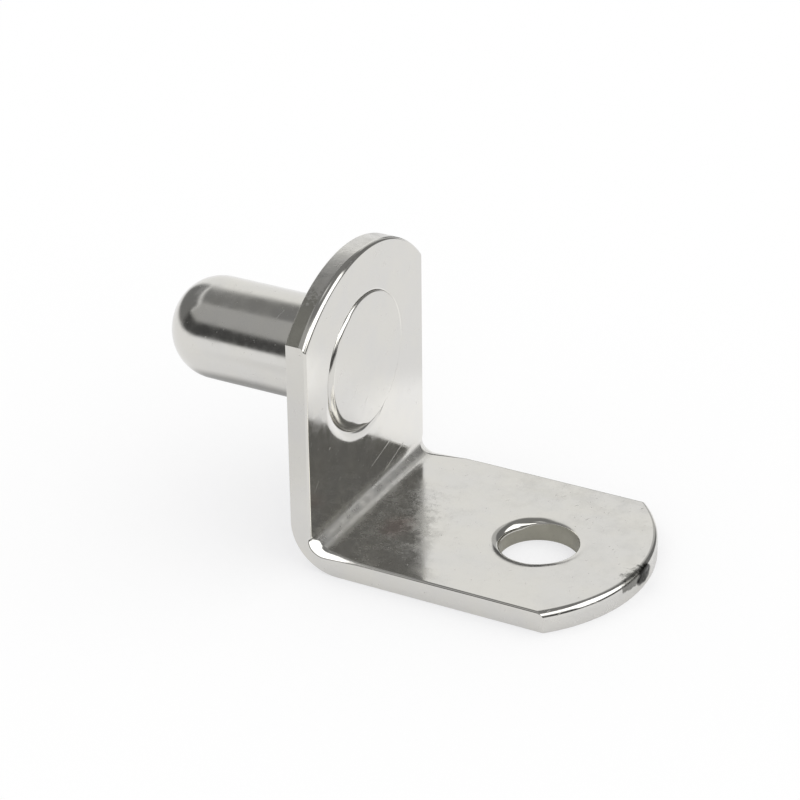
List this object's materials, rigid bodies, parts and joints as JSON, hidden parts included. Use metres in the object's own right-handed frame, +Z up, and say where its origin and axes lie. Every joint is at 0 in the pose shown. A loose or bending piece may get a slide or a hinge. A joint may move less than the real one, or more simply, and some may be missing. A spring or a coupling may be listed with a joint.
{
  "type": "shelf support pin",
  "caption": "Plug-in shelf support: folded steel bracket with a solid headed pin in its plate and a screw hole in its leg, nickel plated.",
  "frame": {"origin": "where the pin's axis meets the back of the plate, at the mouth of the cabinet's row hole", "axes": "+X along the leg, away from the cabinet wall; -X along the pin; +Z up the plate; Y across the strip"},
  "size_m": [0.0245, 0.0114, 0.0142],
  "materials": {
    "plated_strip": "barrel-polished bright nickel plate with fine handling marks",
    "plated_pin": "bright nickel plate over a cold-headed pin"
  },
  "bodies": {
    "root": {"bracket": "plated_strip", "pin": "plated_pin"}
  },
  "joints": []
}
